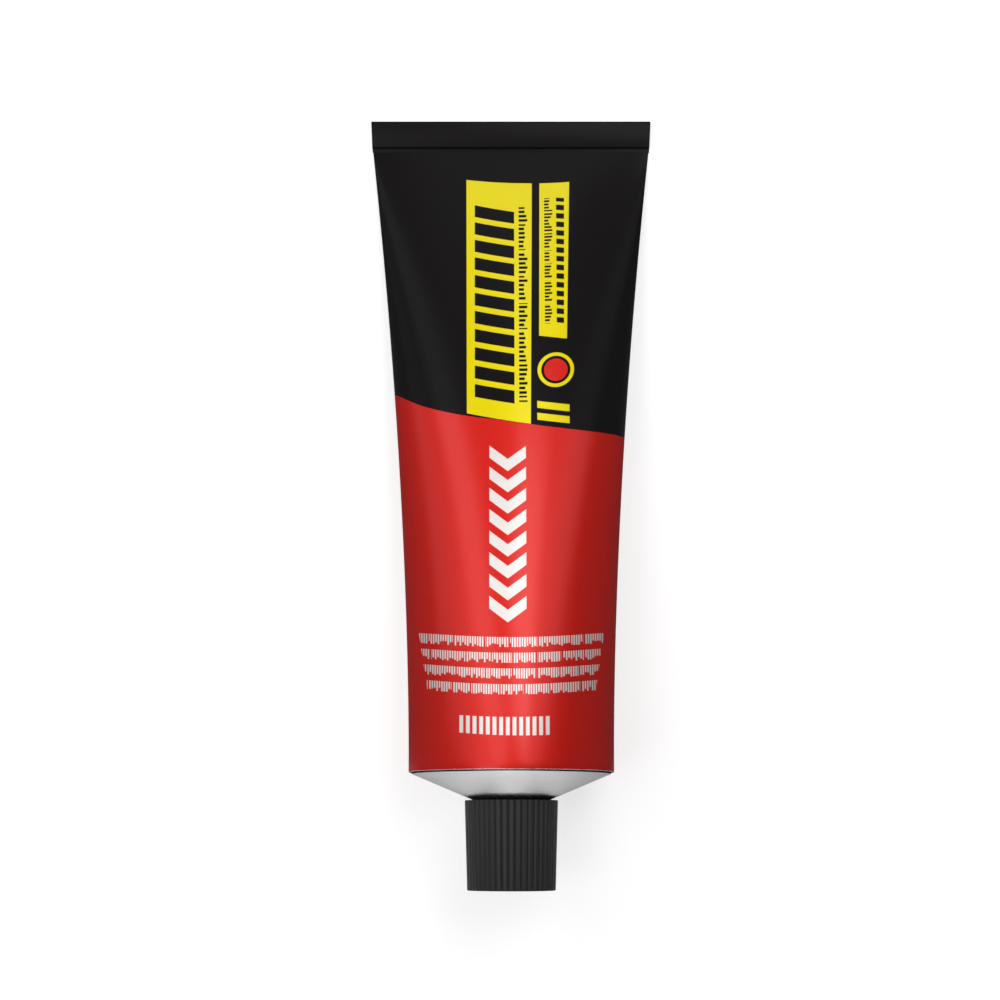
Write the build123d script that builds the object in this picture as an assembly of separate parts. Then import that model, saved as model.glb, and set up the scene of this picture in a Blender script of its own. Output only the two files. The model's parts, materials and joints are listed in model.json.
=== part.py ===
from build123d import *
import math
import os

# A construction adhesive tube: an impact-extruded aluminium tube, enamelled outside, with a sealed
# nose, a ribbed screw cap and a double-folded end. It lies on its back on the plane z = 0, with the
# folded end towards +Y and the cap towards -Y. All sizes are in millimetres.
#
# The tube's own frame, in which every piece is drawn, has its origin in the middle of the sleeve's
# rim, +Z out through the neck and the cap, +Y to the front and +X to the right. The sleeve runs
# along -Z to the fold, and one placement at the end lays everything down.

# Sleeve
SLEEVE_DIAMETER = 44.4
SLEEVE_LENGTH = 139.8  # rim to fold, along the tube's axis
SLEEVE_END_WIDTH = 62.4  # where the flattened sleeve meets the fold
SIDE_FLARE_POWER = 1.71  # how late the sides spread towards the fold
FRONT_FALL_POWER = 1.5  # how late the front wall falls towards the fold
RIM_BAND = 1.5  # the length that the stiff shoulder keeps round
SLEEVE_BANDS = 21  # straight stretches that follow the sleeve's curves

# Folded end
FOIL_THICKNESS = 0.15
FOLD_WIDTH = 63.1
FOLD_HEIGHT = 6.4
FOLD_GAP = 0.06  # between the layers of the fold
FOLD_ROOT = 0.35  # single strip that shows between the sleeve and the lower turn of the fold
FOLD_LAP = 0.6  # how far the strip reaches back into the sleeve
TUCKED_SHARE = 0.8  # of the fold's height, for the end that is tucked inside

# Shoulder and neck
RIM_LIP = 0.3
RIM_GROOVE_WIDTH = 0.3
RIM_GROOVE_DEPTH = 0.25
SHOULDER_STEP = 0.3  # from the rim up to the start of the cone
SHOULDER_SLOPE = 0.42  # rise of the cone for each unit inwards
NECK_ROOT_DIAMETER = 14.2
NECK_LENGTH = 10.2
NECK_ROOT_CHAMFER = 0.4
NOSE_CHAMFER = 0.5
MEMBRANE_DIAMETER = 8.0
MEMBRANE_DEPTH = 0.8

# Screw cap and its sealing wad
CAP_RIM_DIAMETER = 20.1
CAP_END_DIAMETER = 19.0
CAP_SHOULDER_GAP = 0.8  # along the axis, from the cone to the cap's outer edge
THREAD_HEIGHT = 0.7  # of the neck's thread over the neck
THREAD_CLEARANCE = 0.2  # from the neck's thread to the cap's bore
BORE_LEAD_IN = 0.8
WAD_THICKNESS = 1.0
WAD_CLEARANCE = 0.05
WAD_SIDE_CLEARANCE = 0.15
CAP_WEB = 1.6
RECESS_DEPTH = 5.8
CAP_END_WALL = 1.5  # round the recess, at the cap's end
CAP_END_CHAMFER = 0.25
RIB_COUNT = 42
GROOVE_DEPTH = 0.38
GROOVE_WIDTH = 1.1
GROOVE_MARGIN = 0.3  # how far the groove cutter stands out of the cap, at its side and ends
SPIKE_BASE_DIAMETER = 4.8
SPIKE_TIP_DIAMETER = 0.6
SPIKE_SET_BACK = 0.9  # from the cap's end down to the tip

# Sizes that follow
SLEEVE_RADIUS = SLEEVE_DIAMETER / 2
STRIP_THICKNESS = 2 * FOIL_THICKNESS
END_HALF_THICKNESS = 0.8 * FOIL_THICKNESS  # a little under the strip, which covers the sleeve's end
TAPER_LENGTH = SLEEVE_LENGTH - RIM_BAND
TILT = math.degrees(math.atan2(SLEEVE_RADIUS - FOIL_THICKNESS, TAPER_LENGTH))

SHOULDER_RADIUS = SLEEVE_RADIUS - RIM_LIP - RIM_GROOVE_WIDTH
NECK_RADIUS = NECK_ROOT_DIAMETER / 2
CAP_RIM_RADIUS = CAP_RIM_DIAMETER / 2
CAP_END_RADIUS = CAP_END_DIAMETER / 2


def shoulder_height(radius):
    """How far the shoulder's cone stands out of the rim at a radius."""
    return SHOULDER_STEP + SHOULDER_SLOPE * (SHOULDER_RADIUS - radius)


NECK_BASE = shoulder_height(NECK_RADIUS)
NOSE = NECK_BASE + NECK_LENGTH
CAP_RIM = shoulder_height(CAP_RIM_RADIUS) + CAP_SHOULDER_GAP
WAD_BASE = NOSE + WAD_CLEARANCE
WEB_BASE = WAD_BASE + WAD_THICKNESS + WAD_CLEARANCE
RECESS_BASE = WEB_BASE + CAP_WEB
CAP_END = RECESS_BASE + RECESS_DEPTH
BORE_RADIUS = NECK_RADIUS + THREAD_HEIGHT + THREAD_CLEARANCE
RECESS_RADIUS = CAP_END_RADIUS - CAP_END_WALL


def sleeve_section(share):
    """The closed outline of the sleeve at a share of the way from the shoulder (0) to the fold (1)."""
    half_width = SLEEVE_RADIUS + (SLEEVE_END_WIDTH / 2 - SLEEVE_RADIUS) * share**SIDE_FLARE_POWER
    fall = SLEEVE_RADIUS - END_HALF_THICKNESS
    front = END_HALF_THICKNESS + fall * (1 - share**FRONT_FALL_POWER)
    back = END_HALF_THICKNESS + fall * (1 - share)
    front_half = EllipticalCenterArc((0, 0), half_width, front, 0, arc_size=180)
    back_half = EllipticalCenterArc((0, 0), half_width, back, 180, arc_size=180)
    outline = make_face(Wire([front_half, back_half]))
    return Pos(0, 0, -RIM_BAND - TAPER_LENGTH * share) * outline


def sleeve():
    """The tapering body, round at the shoulder and flat at the fold, with a straight back."""
    sections = [sleeve_section(band / SLEEVE_BANDS) for band in range(SLEEVE_BANDS + 1)]
    return loft(sections, ruled=True)


def shoulder_and_neck():
    """The stiff end of the tube: round band, lip, groove, cone, neck and the nose's membrane."""
    membrane_radius = MEMBRANE_DIAMETER / 2
    outline = Polyline(
        (0, -RIM_BAND),
        (SLEEVE_RADIUS, -RIM_BAND),
        (SLEEVE_RADIUS, 0),
        (SLEEVE_RADIUS - RIM_LIP, 0),
        (SLEEVE_RADIUS - RIM_LIP, -RIM_GROOVE_DEPTH),
        (SHOULDER_RADIUS, -RIM_GROOVE_DEPTH),
        (SHOULDER_RADIUS, SHOULDER_STEP),
        (NECK_RADIUS, NECK_BASE),
        (NECK_RADIUS, NOSE),
        (membrane_radius, NOSE),
        (membrane_radius, NOSE - MEMBRANE_DEPTH),
        (0, NOSE - MEMBRANE_DEPTH),
        close=True,
    )
    profile = make_face(outline)
    neck_corner = profile.vertices().sort_by_distance((NECK_RADIUS, NECK_BASE))[0]
    profile = chamfer(neck_corner, NECK_ROOT_CHAMFER)
    nose_corner = profile.vertices().sort_by_distance((NECK_RADIUS, NOSE))[0]
    profile = chamfer(nose_corner, NOSE_CHAMFER)
    return revolve(Plane.XZ * profile, Axis.Z)


def half_ring(centre_y, centre_z, outer, inner, side):
    """Half a ring in the fold's section, open towards the other side."""
    ring = Pos(centre_y, centre_z) * (Circle(outer) - Circle(inner))
    keep = Pos(centre_y + side * outer, centre_z) * Rectangle(2 * outer, 4 * outer)
    return ring & keep


def layer(start_y, end_y, base_z):
    """One straight layer of the fold's section."""
    centre = Pos((start_y + end_y) / 2, base_z + STRIP_THICKNESS / 2)
    return centre * Rectangle(end_y - start_y, STRIP_THICKNESS)


def folded_end(root_y):
    """The end folded over twice to the front: the cut edge is tucked between the two outer layers."""
    pitch = STRIP_THICKNESS + FOLD_GAP
    upper_outer = (3 * STRIP_THICKNESS + 2 * FOLD_GAP) / 2
    lower_outer = (2 * STRIP_THICKNESS + FOLD_GAP) / 2
    upper_turn = root_y + FOLD_HEIGHT - upper_outer
    lower_turn = root_y + FOLD_ROOT + lower_outer
    tucked_end = lower_turn + TUCKED_SHARE * (upper_turn - lower_turn)
    section = layer(root_y - FOLD_LAP, upper_turn, 0)
    section += half_ring(upper_turn, upper_outer, upper_outer, upper_outer - STRIP_THICKNESS, 1)
    section += layer(lower_turn, upper_turn, 2 * pitch)
    section += half_ring(lower_turn, pitch + lower_outer, lower_outer, FOLD_GAP / 2, -1)
    section += layer(lower_turn, tucked_end, pitch)
    return extrude(Plane.YZ * section, FOLD_WIDTH / 2, both=True)


def cap_groove():
    """The cutter for one groove between two ribs, which follows the cap's taper."""

    def notch(radius, height):
        corners = [
            (radius + GROOVE_MARGIN, -GROOVE_WIDTH / 2),
            (radius + GROOVE_MARGIN, GROOVE_WIDTH / 2),
            (radius, GROOVE_WIDTH / 2),
            (radius - GROOVE_DEPTH, 0),
            (radius, -GROOVE_WIDTH / 2),
        ]
        return Pos(0, 0, height) * make_face(Polyline(*corners, close=True))

    draft = (CAP_RIM_RADIUS - CAP_END_RADIUS) / (CAP_END - CAP_RIM)
    start = notch(CAP_RIM_RADIUS + draft * GROOVE_MARGIN, CAP_RIM - GROOVE_MARGIN)
    end = notch(CAP_END_RADIUS - draft * GROOVE_MARGIN, CAP_END + GROOVE_MARGIN)
    return loft([start, end], ruled=True)


def cap():
    """The moulded cap: ribbed skirt, threaded bore, web, and the recess with the piercing spike."""
    outline = Polyline(
        (0, WEB_BASE),
        (BORE_RADIUS, WEB_BASE),
        (BORE_RADIUS, CAP_RIM + BORE_LEAD_IN),
        (BORE_RADIUS + BORE_LEAD_IN, CAP_RIM),
        (CAP_RIM_RADIUS, CAP_RIM),
        (CAP_END_RADIUS, CAP_END),
        (RECESS_RADIUS, CAP_END),
        (RECESS_RADIUS, RECESS_BASE),
        (SPIKE_BASE_DIAMETER / 2, RECESS_BASE),
        (SPIKE_TIP_DIAMETER / 2, CAP_END - SPIKE_SET_BACK),
        (0, CAP_END - SPIKE_SET_BACK),
        close=True,
    )
    profile = make_face(outline)
    end_corner = profile.vertices().sort_by_distance((CAP_END_RADIUS, CAP_END))[0]
    profile = chamfer(end_corner, CAP_END_CHAMFER)
    blank = revolve(Plane.XZ * profile, Axis.Z)
    groove = cap_groove()
    grooves = [Rot(0, 0, 360 * index / RIB_COUNT) * groove for index in range(RIB_COUNT)]
    return blank - grooves


def cap_wad():
    """The sealing disc between the nose and the cap's web."""
    disc = Cylinder(
        BORE_RADIUS - WAD_SIDE_CLEARANCE,
        WAD_THICKNESS,
        align=(Align.CENTER, Align.CENTER, Align.MIN),
    )
    return Pos(0, 0, WAD_BASE) * disc


def laid_down():
    """The placement that lays the tube on its back, with the middle of its length over the origin."""
    tilt = math.radians(TILT)
    height = SLEEVE_RADIUS * math.cos(tilt) + RIM_BAND * math.sin(tilt)
    fold_side = SLEEVE_LENGTH * math.cos(tilt) + FOLD_HEIGHT
    cap_side = CAP_END * math.cos(tilt) + CAP_END_RADIUS * math.sin(tilt)
    return Pos(0, (cap_side - fold_side) / 2, height) * Rot(90 - TILT, 0, 0)


def tube_body():
    """The sealed tube in one piece, laid down on the line of its back and on its fold."""
    place = laid_down()
    root = place * Pos(0, 0, -SLEEVE_LENGTH)
    return place * (sleeve() + shoulder_and_neck()) + folded_end(root.position.Y)


def write_parts():
    """Write one file for each piece."""
    os.makedirs("parts", exist_ok=True)
    place = laid_down()
    pieces = {"tube_body": tube_body(), "cap": place * cap(), "cap_wad": place * cap_wad()}
    for name, piece in pieces.items():
        export_step(piece, f"parts/{name}.step")


write_parts()
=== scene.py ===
# %% [markdown]
# # A construction adhesive tube, laid on its back
# The real tube is one thin cup of aluminium. It is enamelled and printed while it is still round,
# filled from the open end, and closed by pressing that end flat and folding it over twice. A ribbed
# plastic cap screws on to the neck and seals it with a small foam wad.
#
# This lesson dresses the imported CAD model: it makes the thin metal skin, the fold, both threads, the
# ribbed cap and the wad as fine meshes, and gives each of them its finish. The frame says where
# the tube lies and how its cap turns, so no piece is placed by eye.

# %% Load the frame
import json
import math

import bmesh
import bpy
from mathutils import Matrix, Vector


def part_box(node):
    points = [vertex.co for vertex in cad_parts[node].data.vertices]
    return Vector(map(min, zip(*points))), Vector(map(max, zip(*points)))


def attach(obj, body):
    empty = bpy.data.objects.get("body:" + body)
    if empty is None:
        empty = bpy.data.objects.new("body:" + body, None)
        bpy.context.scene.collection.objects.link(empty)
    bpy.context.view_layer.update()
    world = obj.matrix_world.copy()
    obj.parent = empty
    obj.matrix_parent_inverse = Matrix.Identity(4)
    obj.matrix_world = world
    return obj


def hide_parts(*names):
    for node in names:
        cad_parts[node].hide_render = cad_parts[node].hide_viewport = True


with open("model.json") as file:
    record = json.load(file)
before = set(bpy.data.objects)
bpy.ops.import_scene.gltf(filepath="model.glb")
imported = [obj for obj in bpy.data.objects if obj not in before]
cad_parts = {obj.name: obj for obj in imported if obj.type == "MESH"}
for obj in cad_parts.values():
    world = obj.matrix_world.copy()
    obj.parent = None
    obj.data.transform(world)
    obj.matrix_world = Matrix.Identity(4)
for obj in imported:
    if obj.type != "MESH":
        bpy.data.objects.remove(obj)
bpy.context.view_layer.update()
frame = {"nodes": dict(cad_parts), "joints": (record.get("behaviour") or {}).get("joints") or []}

# %% [markdown]
# ## The tube's own frame
# The tube lies at a slope, because its shoulder is round and its far end is flat. Shapes are easier
# to think of along the tube's own axis, so every piece is drawn in the tube's frame and laid down
# once at the end: +Z runs out through the neck, +Y to the front and +X to the right. The cap's
# hinge gives that axis and the middle of the rim, so the two frames can't drift apart.

# %% Read the tube's axis from the cap's joint
MM = 0.001
cap_turn = next(joint for joint in frame["joints"] if joint["name"] == "cap_turn")
rim_centre = Vector(cap_turn["pos_m"])
outwards = Vector(cap_turn["axis"]).normalized()
rightwards = Vector((1, 0, 0))
frontwards = outwards.cross(rightwards)
turned_down = Matrix((rightwards, frontwards, outwards)).transposed().to_4x4()
laid_down = Matrix.Translation(rim_centre) @ turned_down


def corners_of(node):
    """A CAD node's corners as (distance from the axis, height over the rim), in metres."""
    drawn = laid_down.inverted()
    local = [drawn @ corner.co for corner in frame["nodes"][node].data.vertices]
    return [(math.hypot(point.x, point.y), point.z) for point in local]


print("slope of the tube in degrees:", round(math.degrees(math.asin(outwards.z)), 2))

# %% [markdown]
# ## Sizes
# The main sizes are measured from the CAD model: the rim, the neck and the nose, the cap's two
# ends, the wad, and the fold's width. The rest, such as curves, roundings and the threads' ridges,
# are named numbers, each in the cell that first needs it.

# %% Measure the solids
tube_corners = corners_of("tube_body")
cap_corners = corners_of("cap")
wad_corners = corners_of("cap_wad")
NEAR = 0.01 * MM
RIM_RADIUS = max(radius for radius, height in tube_corners if abs(height) < NEAR)
NOSE = max(height for radius, height in tube_corners)
NECK_RADIUS = max(radius for radius, height in tube_corners if height > NOSE - 5 * MM)
CAP_RIM = min(height for radius, height in cap_corners)
CAP_END = max(height for radius, height in cap_corners)
CAP_RIM_RADIUS = max(radius for radius, height in cap_corners if height < CAP_RIM + NEAR)
WAD_RADIUS = max(radius for radius, height in wad_corners)
WAD_BASE = min(height for radius, height in wad_corners)
WAD_TOP = max(height for radius, height in wad_corners)
fold_low, fold_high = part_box("tube_body")
FOLD_WIDTH = fold_high.x - fold_low.x
print("rim radius, nose and cap in mm:", [round(x / MM, 2) for x in (RIM_RADIUS, NOSE, CAP_RIM, CAP_END)])

# %% [markdown]
# ## The camera
# The photo looks at the front of the tube. The tube lies on its back here, so the camera hangs
# straight over it, with the fold at the top of the picture. The lens follows from how strongly the
# near and the far parts of the tube differ in scale in the photo.

# %% Hang the camera over the tube
SENSOR_WIDTH = 36.0
PHOTO_WIDTH = 1000.0
FOCAL_PIXELS = 2150.0
CAMERA_PLACE = Vector((-2.45, -0.21, 486.7)) * MM

camera_data = bpy.data.cameras.new("over_the_tube")
camera_data.sensor_width = SENSOR_WIDTH
camera_data.lens = SENSOR_WIDTH * FOCAL_PIXELS / PHOTO_WIDTH
camera_data.clip_start = 0.01
camera = bpy.data.objects.new("over_the_tube", camera_data)
camera.location = CAMERA_PLACE
bpy.context.scene.collection.objects.link(camera)
bpy.context.scene.camera = camera
bpy.context.scene.view_settings.view_transform = "Standard"
print("lens in mm:", round(camera_data.lens, 1))

# %% [markdown]
# ## Node helpers
# Shapes and finishes below are written as formulas. Both a shape's tree and a material's tree work
# them out with the same Math node, so one small class serves both: a Reading is a number somewhere
# in a tree, and adding or multiplying Readings lays down the nodes that do it.


# %% A number inside a node tree
class Reading:
    """A number in a node tree. Arithmetic on it adds Math nodes."""

    def __init__(self, tree, socket):
        self.tree = tree
        self.socket = socket

    def work_out(self, operation, *values):
        node = self.tree.nodes.new("ShaderNodeMath")
        node.operation = operation
        for slot, value in zip(node.inputs, values):
            if isinstance(value, Reading):
                self.tree.links.new(value.socket, slot)
            else:
                slot.default_value = value
        return Reading(self.tree, node.outputs[0])

    def __add__(self, other):
        return self.work_out("ADD", self, other)

    def __sub__(self, other):
        return self.work_out("SUBTRACT", self, other)

    def __rsub__(self, other):
        return self.work_out("SUBTRACT", other, self)

    def __mul__(self, other):
        return self.work_out("MULTIPLY", self, other)

    def __truediv__(self, other):
        return self.work_out("DIVIDE", self, other)

    def __pow__(self, other):
        return self.work_out("POWER", self, other)

    def __abs__(self):
        return self.work_out("ABSOLUTE", self)

    def over(self, other):
        return self.work_out("GREATER_THAN", self, other)

    def least(self, other):
        return self.work_out("MINIMUM", self, other)

    def most(self, other):
        return self.work_out("MAXIMUM", self, other)

    def whole(self):
        return self.work_out("FLOOR", self)

    def part(self):
        return self.work_out("FRACT", self)

    def kept_in_one(self):
        """The number held between 0 and 1."""
        return self.least(1.0).most(0.0)


def split(tree, vector_socket):
    """The three numbers of a vector."""
    node = tree.nodes.new("ShaderNodeSeparateXYZ")
    tree.links.new(vector_socket, node.inputs[0])
    return [Reading(tree, socket) for socket in node.outputs]


def joined(tree, *numbers):
    """A vector of three numbers."""
    node = tree.nodes.new("ShaderNodeCombineXYZ")
    for slot, number in zip(node.inputs, numbers):
        tree.links.new(number.socket, slot)
    return node.outputs[0]


# %% [markdown]
# ## Shape helpers
# A shape's tree starts from named sizes and ends in Realize Instances and Set Material. It runs as
# a modifier on a carrier object, and what comes out is taken as a plain mesh. Turned pieces, such as
# the shoulder and the cap's blank, are simpler as an outline spun round the axis in code.


# %% Trees of Geometry Nodes
def shape_tree(name, sizes):
    """A new tree with a named input for each size, and Readings of those inputs."""
    tree = bpy.data.node_groups.new(name, "GeometryNodeTree")
    tree.interface.new_socket("Geometry", in_out="INPUT", socket_type="NodeSocketGeometry")
    tree.interface.new_socket("Geometry", in_out="OUTPUT", socket_type="NodeSocketGeometry")
    for size, value in sizes.items():
        kind = "NodeSocketInt" if isinstance(value, int) else "NodeSocketFloat"
        tree.interface.new_socket(size, in_out="INPUT", socket_type=kind).default_value = value
    group_input = tree.nodes.new("NodeGroupInput")
    readings = {size: Reading(tree, group_input.outputs[size]) for size in sizes}
    return tree, group_input.outputs["Geometry"], readings


def close_tree(tree, geometry, material):
    """End a tree as the export needs it: real meshes, with their material."""
    realize = tree.nodes.new("GeometryNodeRealizeInstances")
    dress = tree.nodes.new("GeometryNodeSetMaterial")
    dress.inputs["Material"].default_value = material
    group_output = tree.nodes.new("NodeGroupOutput")
    tree.links.new(geometry, realize.inputs["Geometry"])
    tree.links.new(realize.outputs["Geometry"], dress.inputs["Geometry"])
    tree.links.new(dress.outputs["Geometry"], group_output.inputs["Geometry"])


def run_tree(tree, sizes, start=None):
    """Run a tree with its sizes on a starting mesh, and give the plain mesh that comes out."""
    carrier = bpy.data.objects.new("carrier", start or bpy.data.meshes.new("empty_start"))
    bpy.context.scene.collection.objects.link(carrier)
    modifier = carrier.modifiers.new("shape", "NODES")
    modifier.node_group = tree
    for socket in tree.interface.items_tree:
        if socket.in_out == "INPUT" and socket.name in sizes:
            modifier[socket.identifier] = sizes[socket.name]
    depsgraph = bpy.context.evaluated_depsgraph_get()
    mesh = bpy.data.meshes.new_from_object(carrier.evaluated_get(depsgraph), depsgraph=depsgraph)
    carrier.modifiers.remove(modifier)
    bpy.data.objects.remove(carrier)
    return mesh


# %% Outlines and turned pieces
def rounded(corners, steps=4):
    """An outline from (across, along, rounding) corners, with each rounding as a short arc."""
    points = []
    for index, (across, along, rounding) in enumerate(corners):
        corner = Vector((across, along))
        if not rounding:
            points.append(corner)
            continue
        back = (Vector(corners[index - 1][:2]) - corner).normalized()
        ahead = (Vector(corners[(index + 1) % len(corners)][:2]) - corner).normalized()
        half_angle = back.angle(ahead) / 2
        centre = corner + (back + ahead).normalized() * (rounding / math.sin(half_angle))
        reach = rounding / math.tan(half_angle)
        start = (corner + back * reach - centre).normalized()
        end = (corner + ahead * reach - centre).normalized()
        points += [centre + start.slerp(end, step / steps) * rounding for step in range(steps + 1)]
    return points


def turned(outline, steps):
    """A bmesh of an outline of (radius, height) points spun round the axis."""
    work = bmesh.new()
    rings = []
    for radius, height in outline:
        turns = 1 if radius < NEAR else steps
        angles = [2 * math.pi * turn / steps for turn in range(turns)]
        ring = [work.verts.new((radius * math.cos(a), radius * math.sin(a), height)) for a in angles]
        rings.append(ring * (steps if turns == 1 else 1))
    for low, high in zip(rings, rings[1:]):
        for turn in range(steps):
            ahead = (turn + 1) % steps
            loop = [low[turn], low[ahead], high[ahead], high[turn]]
            work.faces.new(list(dict.fromkeys(loop)))
    return work


def to_mesh(name, work, materials, crease_degrees=40):
    """Close the seams of a bmesh, turn its faces outwards and lay it down as a smooth mesh."""
    bmesh.ops.remove_doubles(work, verts=work.verts, dist=0.1 * NEAR)
    bmesh.ops.dissolve_degenerate(work, dist=0.01 * NEAR, edges=work.edges)
    bmesh.ops.recalc_face_normals(work, faces=work.faces)
    open_edges = sum(1 for edge in work.edges if not edge.is_manifold)
    for face in work.faces:
        face.material_index = min(face.material_index, len(materials) - 1)
    mesh = bpy.data.meshes.new(name)
    for material in materials:
        mesh.materials.append(material)
    work.to_mesh(mesh)
    work.free()
    mesh.shade_smooth()
    mesh.set_sharp_from_angle(angle=math.radians(crease_degrees))
    mesh.transform(laid_down)
    print(name, "faces:", len(mesh.polygons), "open edges:", open_edges)
    return mesh


def piece(name, mesh, body, replaces=None):
    """Hang a finished mesh on its body, in the place of a CAD node if it replaces one."""
    made = bpy.data.objects.new(name, mesh)
    bpy.context.scene.collection.objects.link(made)
    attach(made, body)
    if replaces:
        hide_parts(replaces)


# %% [markdown]
# ## Material helpers
# Every finish is a Principled shader whose changing inputs are linked and whose constant inputs are
# set on the shader itself. Patterns read Object coordinates, which a Mapping node turns into
# millimetres in the tube's own frame: across, front and height over the rim.


# %% Materials in the tube's own frame
NOISE_DETAIL = 2.0
MIX_COLOURS_IN = (6, 7)
MIX_COLOUR_OUT = 2


def new_finish(name, **constants):
    """A material, its shader and the place in the tube's own frame, in millimetres."""
    material = bpy.data.materials.new(name)
    material.use_nodes = True
    tree = material.node_tree
    shader = tree.nodes["Principled BSDF"]
    for socket, value in constants.items():
        shader.inputs[socket.replace("_", " ")].default_value = value
    place = tree.nodes.new("ShaderNodeTexCoord")
    mapping = tree.nodes.new("ShaderNodeMapping")
    mapping.vector_type = "TEXTURE"
    mapping.inputs["Location"].default_value = rim_centre
    mapping.inputs["Rotation"].default_value = laid_down.to_euler()
    mapping.inputs["Scale"].default_value = (MM, MM, MM)
    tree.links.new(place.outputs["Object"], mapping.inputs["Vector"])
    return material, shader, mapping.outputs["Vector"]


def noise(tree, place, per_mm):
    """Smooth noise from 0 to 1, with a chosen number of lumps to the millimetre."""
    node = tree.nodes.new("ShaderNodeTexNoise")
    node.inputs["Scale"].default_value = per_mm
    node.inputs["Detail"].default_value = NOISE_DETAIL
    tree.links.new(place, node.inputs["Vector"])
    return Reading(tree, node.outputs["Fac"])


def relief(tree, shader, height, depth_mm):
    """Raise the surface by a Reading from 0 to 1, times a depth."""
    bump = tree.nodes.new("ShaderNodeBump")
    bump.inputs["Distance"].default_value = depth_mm * MM
    tree.links.new(height.socket, bump.inputs["Height"])
    tree.links.new(bump.outputs["Normal"], shader.inputs["Normal"])


def blend_colour(tree, share, below, above):
    """A colour that goes from one to another as share goes from 0 to 1."""
    mix = tree.nodes.new("ShaderNodeMix")
    mix.data_type = "RGBA"
    tree.links.new(share.socket, mix.inputs["Factor"])
    for slot, colour in zip(MIX_COLOURS_IN, (below, above)):
        if isinstance(colour, tuple):
            mix.inputs[slot].default_value = (*colour, 1.0)
        else:
            tree.links.new(colour, mix.inputs[slot])
    return mix.outputs[MIX_COLOUR_OUT]


# %% [markdown]
# ## The print
# The enamel carries flat fields of colour: black over the folded half, red below a slanting edge,
# and two yellow panels. The shapes on them are plain ones: slanted bars, a ringed disc, a row of
# chevrons that points to the nose, and rows of short strokes in place of small print. Each is a
# formula in the tube's frame, so it stays sharp at any distance. Print on a round tube seems to
# sag when it is seen from the front, and one term bends every field the same way.

# %% Printed shapes
PRINT_EDGE = 0.08
STROKE_SHARE = 0.6
GROUP_GAP = 0.3
SHORTEST_STROKE = 0.55
STROKE_RANGE = 0.6


def soft(distance):
    """1 where a distance in millimetres is inside, 0 outside, with a narrow printed edge."""
    return (distance / PRINT_EDGE + 0.5).kept_in_one()


def patch(x, v, corners):
    """A convex field with straight sides. Its corners go round anticlockwise."""
    inside = None
    for (x0, v0), (x1, v1) in zip(corners, corners[1:] + corners[:1]):
        length = math.hypot(x1 - x0, v1 - v0)
        step_x, step_v = (x1 - x0) / length, (v1 - v0) / length
        side = soft(v * step_x - x * step_v + (x0 * step_v - v0 * step_x))
        inside = side if inside is None else inside.least(side)
    return inside


def disc(x, v, centre, radius):
    """A round field."""
    away = ((x - centre[0]) ** 2 + (v - centre[1]) ** 2) ** 0.5
    return soft(radius - away)


def bars(along, pitch, width, start=0.0):
    """Equal bars across a direction, the first of them beginning at the start."""
    before_middle = (pitch - width) / 2 - start
    off_centre = abs(((along + before_middle) / pitch).part() - 0.5) * pitch
    return soft(width / 2 - off_centre)


def strokes(along, across, word, pitch, seed):
    """Short strokes of uneven height in groups, as small print looks from a step away."""
    tree = along.tree
    groups = tree.nodes.new("ShaderNodeTexVoronoi")
    groups.voronoi_dimensions = "1D"
    groups.feature = "DISTANCE_TO_EDGE"
    groups.inputs["Scale"].default_value = 1 / word
    tree.links.new((along + seed).socket, groups.inputs["W"])
    in_group = soft(Reading(tree, groups.outputs["Distance"]) * word - GROUP_GAP * pitch)
    heights = tree.nodes.new("ShaderNodeTexWhiteNoise")
    heights.noise_dimensions = "1D"
    tree.links.new((along / pitch + seed).whole().socket, heights.inputs["W"])
    tall = Reading(tree, heights.outputs["Value"]) * STROKE_RANGE + SHORTEST_STROKE
    row = bars(along + seed * pitch, pitch, STROKE_SHARE * pitch)
    return row.least(in_group).least(soft(tall - across))


# %% [markdown]
# ### The layout
# A field's corners are given as (across, distance from the rim), in millimetres, and so are the
# points of the curve where black begins. A row of bars has a pitch, a width and a start. A row of
# strokes has the length of its words, its pitch, and a seed that sets its unevenness.

# %% Inks and fields
BLACK = (0.0108, 0.0096, 0.01)
RED = (0.68, 0.018, 0.0125)
YELLOW = (0.83, 0.7, 0.003)
WHITE = (0.81, 0.765, 0.74)

PRINT_BEND = 0.0047
BAR_SLANT = 0.16
BLACK_EDGE = [(-25.0, 82.4), (-13.5, 77.0), (-0.8, 74.7), (12.1, 73.3), (24.8, 73.1)]
EDGE_LOW, EDGE_HIGH, EDGE_SIDE = 70.0, 85.0, 32.0

MAIN_PANEL = [(-9.6, 76.2), (4.2, 74.0), (4.7, 131.3), (-10.0, 131.8)]
MAIN_BAR_FIELD = [(-7.9, 80.0), (0.7, 78.62), (0.7, 124.24), (-8.1, 125.65)]
MAIN_BARS = {"pitch": 4.272, "width": 2.97, "start": 78.73}
MAIN_STROKE_FIELD = [(1.7, 79.0), (3.5, 79.0), (3.7, 125.4), (1.7, 125.4)]
MAIN_STROKES = {"word": 7.0, "pitch": 1.05, "seed": 11.0}
MAIN_STROKE_HEIGHT = 1.9

SIDE_PANEL = [(6.1, 94.3), (12.2, 93.3), (13.1, 131.0), (6.4, 131.2)]
SIDE_STROKE_FIELD = [(7.4, 97.0), (9.0, 97.0), (9.3, 127.4), (7.4, 127.4)]
SIDE_STROKES = {"word": 4.4, "pitch": 0.8, "seed": 3.0}
SIDE_STROKE_HEIGHT = 1.7
SIDE_BAR_FIELD = [(10.0, 97.2), (11.6, 96.94), (11.9, 127.1), (10.1, 127.4)]
SIDE_BARS = {"pitch": 2.09, "width": 1.3, "start": 98.8}

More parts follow.
